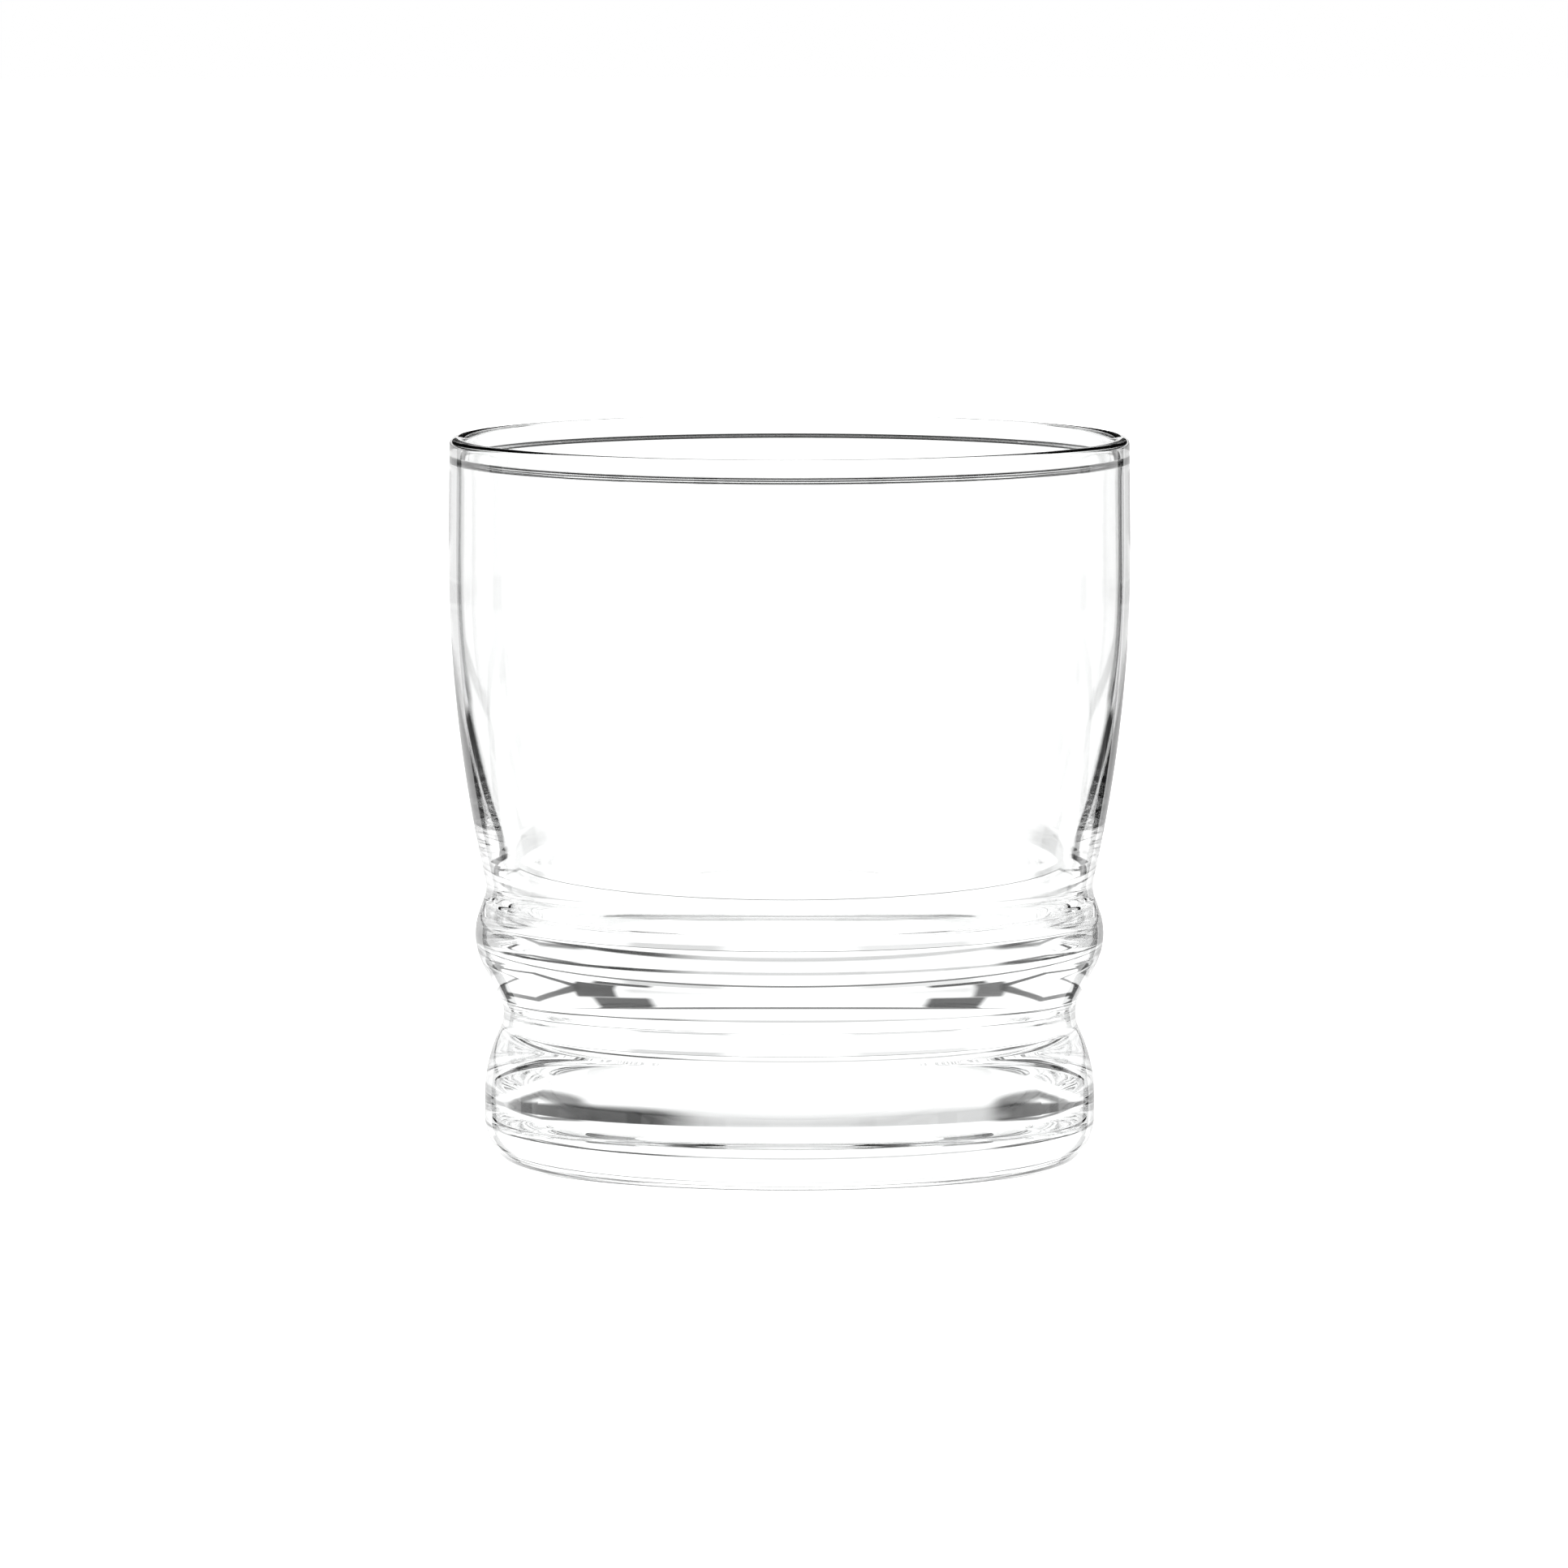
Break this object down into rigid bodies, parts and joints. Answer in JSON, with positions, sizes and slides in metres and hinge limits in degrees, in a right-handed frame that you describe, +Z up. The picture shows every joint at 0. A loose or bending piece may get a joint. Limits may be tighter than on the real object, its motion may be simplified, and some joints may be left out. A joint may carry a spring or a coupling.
{
  "type": "whiskey tumbler",
  "caption": "Clear glass whiskey tumbler with a bowed bowl, rounded lip, ring moulding at the neck and a thick solid base with a rounded heel.",
  "frame": {"origin": "centre of the foot, on the plane that the glass stands on", "axes": "+Z up along the axis of the glass, from the foot to the lip"},
  "size_m": [0.0864, 0.0864, 0.093],
  "materials": {
    "clear_glass": "fire-polished clear soda-lime glass"
  },
  "bodies": {
    "root": {"tumbler": "clear_glass"}
  },
  "joints": []
}
